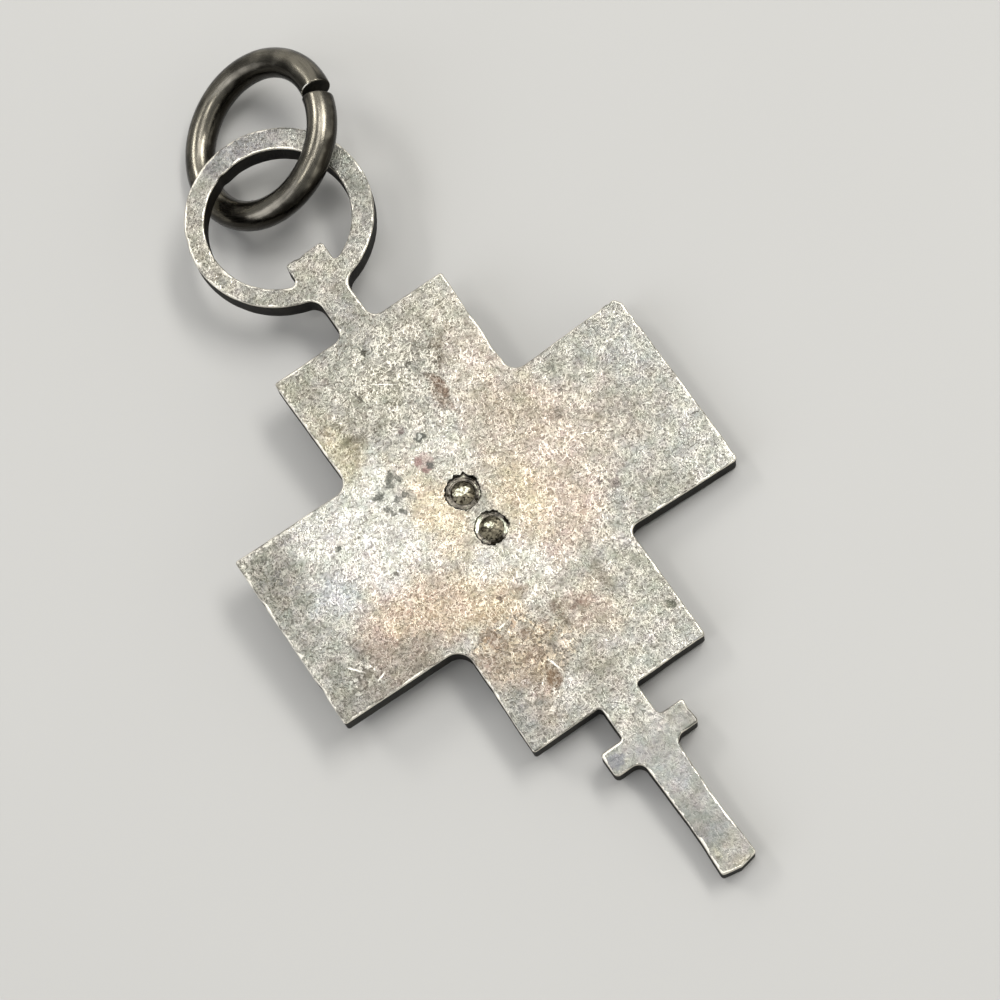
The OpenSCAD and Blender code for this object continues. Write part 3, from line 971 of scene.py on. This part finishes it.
# Bright scratches: middle, half length, half width and direction in degrees
SCRATCHES = (
    (-6.8-2.1j, 0.45, 0.05, -50),
    (-6.2-2.8j, 0.25, 0.05, 20),
    (-1.2-5.8j, 0.4, 0.05, -75),
    (-0.45+5.75j, 0.65, 0.025, -36),
    (4.3+0.2j, 0.55, 0.025, -22),
    (-1.9-3.7j, 0.22, 0.04, 10),
)

# Where the tarnish lies in crumbs or is rubbed through in them: place, radii and colour
CRUMBS = (
    (-3.1+12.6j, 1, 2.6, "#E0DBCB"),
    (-0.1-8.9j, 1.4, 0.8, "#C4C1B6"),
    (-0.3-14.4j, 0.8, 0.8, "#D2CDBB"),
    (-6.6-2.5j, 1, 0.7, "#F2EEE1"),
    (-1.9-6.4j, 0.9, 1.2, "#F2EEE1"),
    (7.2+2.9j, 1, 1, "#D8D5C8"),
    (0.4+11.2j, 0.9, 0.5, "#F2EEE1"),
    (-7.5+2.2j, 1, 1.8, "#C9C6BA"),
    (-2-4j, 1.6, 0.9, "#D6BE9E"),
    (-1.2-5j, 1.9, 1.1, "#D8C6AC"),
    (0.6-4.6j, 1, 0.8, "#5F4B3E"),
    (-7.3+1.9j, 1, 1.2, "#5C5D5E"),
    (1.6+6j, 1.3, 1, "#4F473A"),
    (-2.6+5.2j, 1.2, 1.6, "#6B6654"),
)


def spot(add, place, centre, reach_x, reach_y, strength=1, turn=0, fade=(0, 0.8)):
    """A mask that has its full strength in the middle of an ellipse and fades to its edge."""
    middle = (centre.real, centre.imag, 0)
    around = add("moved", place, middle, (0, 0, math.radians(turn)), (reach_x, reach_y, 1000))
    return add("spread", add("ball", around), *fade, 0, strength)


def largest(add, place, spots):
    """The mask of a whole table of spots."""
    mask = spot(add, place, *spots[0])
    for row in spots[1:]:
        mask = add("larger", mask, spot(add, place, *row))
    return mask


def laid(add, place, colour, spots, fade=(0, 0.8)):
    """Lays a table of spots over a colour, one after another."""
    for *where, tint in spots:
        colour = add("mix", spot(add, place, *where, fade=fade), colour, tint)
    return colour


def tarnish(add, place, colour):
    """Lays the back face's broad tints over a colour, and the bright and dark crumbs of its tarnish."""
    ragged = frayed(add, place, 1.3, 1.3)
    colour = laid(add, ragged, colour, TINTS)
    crumbs = grains(add, place, 0.22, 3, 0.6, 0.5, 0.6)
    for *where, tint in CRUMBS:
        mask = add("product", spot(add, ragged, *where, 0.8), crumbs)
        colour = add("mix", mask, colour, tint)
    return colour


def marked(add, place, colour):
    """Lays the back face's small dark marks and bright scratches over its grain."""
    colour = laid(add, frayed(add, place, 0.16, 0.2), colour, MARKS, (0.2, 0.55))
    shaky = frayed(add, place, 0.2, 0.06)
    for centre, length, width, turn in SCRATCHES:
        mask = spot(add, shaky, centre, length, width, 0.85, turn)
        colour = add("mix", mask, colour, "#E6E2D6")
    return colour


# Where the burr is broad and crumbly: place and radii
BROAD_BURRS = (
    (-6.9+3.6j, 2.2, 0.9),
    (-8.3+2.9j, 1, 1.2),
    (-8.3-0.9j, 0.7, 2.6),
    (8.1-2.8j, 0.9, 1.4),
    (-3.7+7.6j, 0.8, 1.2),
    (-3.4+12.8j, 1.3, 2),
    (3.7+5.2j, 0.7, 2.2),
    (-0.2-15j, 0.9, 0.6),
)


def burred(add, place, colour):
    """Lays the bright burr of the sawn edges over a colour, broad and crumbly here and there."""
    away = add("point value", attribute_name="edge")
    width = grains(add, place, 0.9, 6, 0.75, 0.36, 0.6, -0.045, 0.035)
    burr = add("spread", add("sum", away, width), 0.065, 0.035)
    crumbs = grains(add, place, 0.14, 3, 0.65, 0.48, 0.6)
    crumbs = add("product", crumbs, add("spread", away, 0.3, 0.1, 0, 0.7))
    broad = add("product", largest(add, place, BROAD_BURRS), crumbs)
    return add("mix", add("larger", burr, broad), colour, "#DDD8CA")


def patchy(add, place, colour):
    """Varies a colour's brightness and hue faintly from one patch to the next."""
    patches = grains(add, place, 0.8, 4, 0.65, 0.36, 0.64)
    shade = add("mix", patches, (0.87, 0.86, 0.84, 1), (1.02, 1.02, 1.02, 1))
    colour = add("tint", 1, colour, shade)
    hues = add("colour noise", place, 1 / 0.55, 3, 0.6)
    hues = add("stretched and shifted", hues, (0.22, 0.18, 0.24), (0.89, 0.91, 0.88))
    return add("tint", 1, colour, hues)


# Where the blasting left a coarser grain with darker clumps: place, radii and strength
COARSE = (
    (0.1+6j, 4.2, 3.8, 1),
    (-7.8+1.6j, 2, 2.8, 0.3),
    (-1.7-4.2j, 2.6, 1.5, 0.6),
)


def worms(add, place, cell, half_width, length):
    """A mask of thin winding lines where a noise crosses its middle, broken into pieces of a length in mm."""
    away = add("size", add("difference", add("noise", place, 1 / cell, 1, 0.5), 0.5))
    lines = add("spread", away, half_width, 0, 0, 1)
    broken = grains(add, place, length, 2, 0.5, 0.36, 0.58, 0.15, 1)
    return add("product", lines, broken)


def grained(add, place, colour):
    """Lays the blasted grain over a colour: mottled metal with clumps, dark gaps and bright worms on it.

    It calms down on the pin. Returns the colour, the mottle and the relief."""
    coarse = largest(add, place, COARSE)
    clumps = grains(add, place, 0.3, 3, 0.65, 0.42, 0.58)
    clumps = add("product", add("product", clumps, coarse), 0.22)
    colour = add("mix", clumps, colour, (0.2, 0.19, 0.16, 1))
    bright = add("mix", add("spread", coarse, 0, 1, 0.45, 0.75), colour, "#DDD9CA")
    clean = add("spread", add("brightness", colour), 0.28, 0.6, 0.45, 1)
    grainy = add("spread", add("along cross", place), -10, -8.4, 0.35, 0.92)
    grainy = add("sum", grainy, add("product", coarse, 0.25))
    blotch = add("even spread", add("noise", place, 1 / 0.4, 3, 0.6), 0, 1, 0.25, 0.75)
    mottle = add("sum", add("noise", place, 1 / 0.11, 2, 0.6), blotch)
    shade = add("even spread", mottle, 0.78, 1.22)
    shade = add("mix", shade, (0.265, 0.255, 0.245, 1), (0.59, 0.59, 0.585, 1))
    colour = add("tint", 1, colour, add("mix", grainy, (0.42, 0.42, 0.42, 1), shade))
    gaps = add("product", worms(add, place, 0.22, 0.045, 0.4), grainy)
    gappy = add("product", gaps, add("spread", coarse, 0, 1, 0.55, 0.85))
    colour = add("mix", gappy, colour, "#5A5449")
    crests = add("larger", worms(add, place, 0.18, 0.085, 0.55), worms(add, place, 0.11, 0.07, 0.35))
    crests = add("product", crests, grainy)
    crests = add("product", crests, add("larger", clean, add("product", coarse, 0.8)))
    colour = add("mix", add("product", crests, 0.85), colour, bright)
    return colour, mottle, add("sum", add("difference", crests, gaps), mottle)


def blasted_silver(name, stained):
    """Silver sheet, sand blasted: a broad soft sheen broken into grains, under grey and warm tarnish."""
    material, add, shader = new_material(name)
    place = flat_place(add)
    cloud = grains(add, place, 2.2, 4, 0.6, 0.35, 0.65)
    colour = add("mix", cloud, "#ADACA3", "#B9B8AF")
    if stained:
        colour = tarnish(add, place, colour)
    colour, mottle, relief = grained(add, place, patchy(add, place, colour))
    pits = add("cells", frayed(add, place, 0.12, 0.1), 1 / 1.3)
    colour = add("mix", add("spread", pits, 0.075, 0.04, 0, 0.8), colour, "#55514A")
    if stained:
        colour = marked(add, place, colour)
    give(shader, {
        "Base Color": burred(add, place, colour),
        "Metallic": 1.0,
        "Roughness": add("spread", mottle, 0.8, 1.2, 0.42, 0.33),
        "Normal": add("bump", 1, 0.006 * MM, relief),
    })
    return material


def oxide_and_shade_wall():
    """The sawn edge under a black sulphide crust and painted shade: almost no light comes back, over fine
    upright saw lines.
    """
    material, add, shader = new_material("oxide_and_shade_sawn_edge")
    place = flat_place(add)
    blotch = grains(add, place, 0.5, 3, 0.6, 0.35, 0.7)
    lines = add("noise", add("stretched", place, (1, 1, 0.15)), 1 / 0.09, 3, 0.6)
    give(shader, {
        # Near black: partly the sulphide crust, partly painted shade on the walls and on the wire's cut ends
        "Base Color": add("mix", blotch, "#0A0907", "#1E1B14"),
        "Roughness": 0.6,
        "Specular IOR Level": 0.12,
        "Normal": add("bump", 0.8, 0.02 * MM, lines),
    })
    return material


def dark_punched_silver(name, low, high):
    """Punched silver, darkened: black in its creases, partly oxide and partly painted shade, and burnished
    bright where it was struck, partly painted glints.
    """
    material, add, shader = new_material(name)
    place = flat_place(add)
    cloud = grains(add, place, 0.22, 2, 0.5, 0.35, 0.65)
    colour = add("mix", cloud, low, high)
    blotch = add("noise", place, 1 / 0.1, 3, 0.6)
    darkness = add("point value", attribute_name="edge")
    soot_and_painted_light = add("sum", darkness, add("spread", blotch, 0.35, 0.65, -0.45, 0.45))
    # Black in the creases: partly oxide, partly painted shade
    colour = add("mix", add("spread", soot_and_painted_light, 0.2, 0.9), colour, "#1A1711")
    give(shader, {
        # The burnished places are painted bright, partly as painted glints and reflections
        "Base Color": add("mix", add("spread", soot_and_painted_light, -0.45, -0.8), colour, "#BBBDA8"),
        "Metallic": 1.0,
        "Roughness": add("spread", soot_and_painted_light, -0.7, 0.6, 0.32, 0.42),
        "Normal": add("bump", 0.6, 0.015 * MM, blotch),
    })
    return material


def oxidised_wire():
    """Drawn silver wire, oxidised almost black: smooth and brownish, with hard glints and a bright burr. Its
    colour is painted lighter where it faces up, a painted sheen, and darker on its flanks, painted shade.
    """
    material, add, shader = new_material("oxidised_drawn_wire")
    place = flat_place(add)
    drawn = add("stretched", add("along wire"), (0.12, 1, 1))
    lines = add("noise", drawn, 1 / 0.1, 3, 0.6)
    cloud = grains(add, place, 1.2, 3, 0.6, 0.3, 0.7, -0.15, 0.15)
    wear_and_top_sheen = add("sum", add("point value", attribute_name="crest"), cloud)
    # Lighter where the wire faces up, darker on its flanks: painted sheen and painted shade, with some wear
    colour = add("mix", add("spread", wear_and_top_sheen, 0.55, 0.95), "#2A2721", "#807B6F")
    colour = add("mix", add("spread", lines, 0.4, 0.7, 0, 0.4), colour, "#47453F")
    wavering = grains(add, place, 0.12, 2, 0.5, 0.35, 0.65, -0.02, 0.03)
    burr = add("sum", add("point value", attribute_name="edge"), wavering)
    knocks = add("sum", lines, add("noise", place, 1 / 0.16))
    give(shader, {
        "Base Color": add("mix", add("spread", burr, 0.06, 0.03), colour, "#CFCBBF"),
        "Metallic": 1.0,
        "Roughness": add("spread", lines, 0.3, 0.7, 0.21, 0.31),
        "Normal": add("bump", 0.5, 0.005 * MM, knocks),
    })
    return material


def pale_board():
    """Matt pale board under the charm, with the faintest mottle, 30 mm across."""
    material, add, shader = new_material("pale_matt_board")
    mottle = add("noise", add("place"), 1 / 0.03, 3)
    give(shader, {
        "Base Color": add("mix", mottle, "#B1B0AC", "#B6B5B1"),
        "Roughness": 0.85,
    })
    return material


def make_floor():
    """The board, as a square 1.2 m wide."""
    half = 0.6
    corners = ((-half, -half, 0), (half, -half, 0), (half, half, 0), (-half, half, 0))
    floor = make_object("floor", corners, [(0, 1, 2, 3)], [pale_board()], [0], {})


def soft_light(name, towards, distance, width, length, lengthways, power, colour):
    """A rectangular light in a direction, seen from the flat cross, whose length lies along lengthways."""
    data = bpy.data.lights.new(name, "AREA")
    data.shape = "RECTANGLE"
    data.size = width
    data.size_y = length
    data.energy = power
    data.color = linear(colour)[:3]
    away = Vector(towards).normalized()
    wide = Vector(lengthways).cross(away).normalized()
    place = TO_ROW.to_3x3().normalized() @ away * distance
    stand(new_object(name, data), place, wide, away.cross(wide), away)


# Soft lights: name, direction, distance, width, length and its direction, power and colour. The sheet and
# the wire mirror the windows towards the camera, and the sides are broad and dim.
LIGHTS = (
    ("window", (-0.02, 0.2, 0.98), 0.4, 0.045, 0.3, (0.35, 0.94, 0), 0.26, "#FFFEFF"),
    ("right_window", (0.48, 0.08, 0.87), 0.4, 0.07, 0.24, (0.35, 0.94, 0), 0.75, "#FFFEFC"),
    ("high_window", (-0.34, 0.69, 0.64), 0.4, 0.07, 0.14, (0.35, 0.94, 0), 0.34, "#FFFEFC"),
    ("broad_window", (0.37, 0.11, 0.92), 0.4, 0.12, 0.24, (0.86, -0.5, 0), 0.3, "#FFFEFF"),
    ("left_window", (-0.42, 0.02, 0.9), 0.4, 0.08, 0.1, (1, 0, 0), 0.14, "#FFFEFC"),
    ("far_side", (0.25, 0.85, 0.5), 0.8, 0.9, 0.9, (1, 0, 0), 1.4, "#FFFDF8"),
    ("left_side", (-0.9, 0.1, 0.5), 0.8, 0.6, 0.6, (0, 1, 0), 2.0, "#F4F6FF"),
    ("near_side", (0.5, -0.85, 0.4), 0.8, 1.0, 0.7, (0, 0, 1), 1.8, "#FFFDF8"),
)


def light_scene():
    """The soft lights, under an even pale sky."""
    for light in LIGHTS:
        soft_light(*light)
    world = bpy.data.worlds.new("studio")
    bpy.context.scene.world = world
    world.use_nodes = True
    give(world.node_tree.nodes["Background"], {"Color": "#F2F4F6", "Strength": 0.34})
    bpy.context.scene.view_settings.view_transform = "Standard"


cut_metal = oxide_and_shade_wall()
back_finish = blasted_silver("blasted_silver_back", True)
front_finish = blasted_silver("blasted_silver_front", False)
recess_finish = dark_punched_silver("punched_recess", "#4B4842", "#7C766B")
rivet_finish = dark_punched_silver("hammered_rivet", "#4E493D", "#7A7463")
make_sheet([back_finish, cut_metal, recess_finish, front_finish])
for rivet in RIVETS:
    make_rivet(rivet, rivet_finish)
make_ring([oxidised_wire(), cut_metal])
make_floor()
light_scene()
